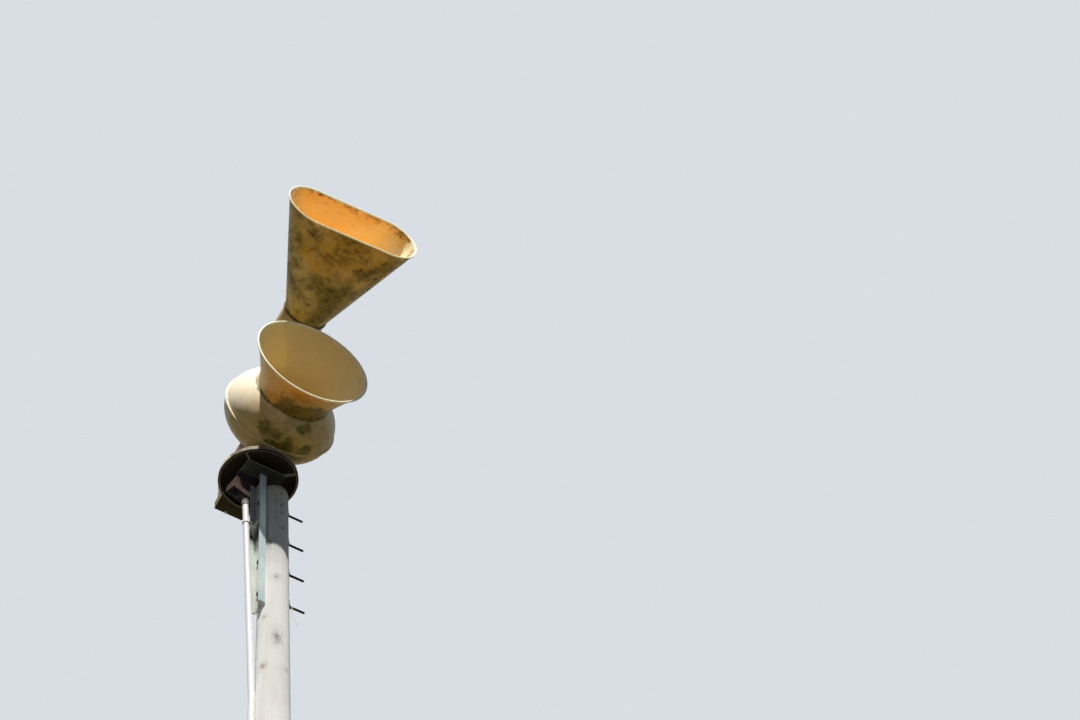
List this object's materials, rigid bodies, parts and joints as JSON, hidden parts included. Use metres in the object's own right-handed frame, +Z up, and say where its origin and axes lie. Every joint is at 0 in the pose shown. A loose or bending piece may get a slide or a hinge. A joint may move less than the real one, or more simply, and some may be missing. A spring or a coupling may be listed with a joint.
{
  "type": "civil defence siren on a timber pole",
  "caption": "Twin-horn outdoor warning siren on a turning head, with a hood and gear box, on top of a round timber pole with a side conduit.",
  "frame": {"origin": "middle of the pole's foot, on the ground", "axes": "+Z up along the pole; +X along the through bolts towards their nuts; the mounting channel is on the -X side, the gear box on the +Y side, and the horns point towards -Y"},
  "size_m": [1.2871, 2.3126, 15.3446],
  "materials": {
    "timber": "bleached and weathered, with a worn pale coat",
    "galvanised_steel": "dull galvanised",
    "dark_steel": "rusty and dark",
    "tan_laminate": "chalked tan gel coat with mildew",
    "horn_laminate": "chalked tan gel coat, heavily mottled with mildew",
    "grey_paint": "faded grey paint",
    "brown_paint": "faded brown paint",
    "white_conduit": "dull white"
  },
  "bodies": {
    "mast": {"pole_shaft": "timber", "mounting_channel": "galvanised_steel", "top_plate": "galvanised_steel", "through_bolt_1": "dark_steel", "through_bolt_2": "dark_steel", "through_bolt_3": "dark_steel", "through_bolt_4": "dark_steel", "bolt_nut_1": "dark_steel", "bolt_nut_2": "dark_steel", "bolt_nut_3": "dark_steel", "bolt_nut_4": "dark_steel", "spoke_1": "galvanised_steel", "spoke_2": "galvanised_steel", "spoke_3": "galvanised_steel", "bearing_housing": "grey_paint", "hood": "tan_laminate", "gearbox": "brown_paint", "gearbox_hanger": "galvanised_steel", "outer_box": "brown_paint", "outer_box_lid": "brown_paint", "conduit_pole_run": "white_conduit", "conduit_coupling": "white_conduit", "conduit_top_run": "white_conduit", "conduit_connector": "galvanised_steel", "conduit_clip": "galvanised_steel", "conduit_lead": "dark_steel", "conduit_strap_1": "galvanised_steel", "conduit_strap_2": "galvanised_steel", "conduit_strap_3": "galvanised_steel", "conduit_strap_4": "galvanised_steel"},
    "head": {"turning_shaft": "dark_steel", "turntable": "grey_paint", "base_plate": "grey_paint", "motor_base": "grey_paint", "saddle_front": "grey_paint", "saddle_rear": "grey_paint", "motor_case": "grey_paint", "motor_end_cap": "grey_paint", "ball_front": "tan_laminate", "ball_rear": "tan_laminate", "ball_seam": "tan_laminate", "stator_plate": "dark_steel", "lower_horn": "tan_laminate", "riser_collar": "tan_laminate", "riser_pipe": "tan_laminate", "duct_bend": "tan_laminate", "duct_collar": "tan_laminate", "upper_horn": "horn_laminate"}
  },
  "joints": [
    {"name": "head_turn", "type": "hinge", "parent": "mast", "child": "head", "pos_m": [-0.15, 0, 13.47], "axis": [0, 0, 1], "continuous": true}
  ]
}
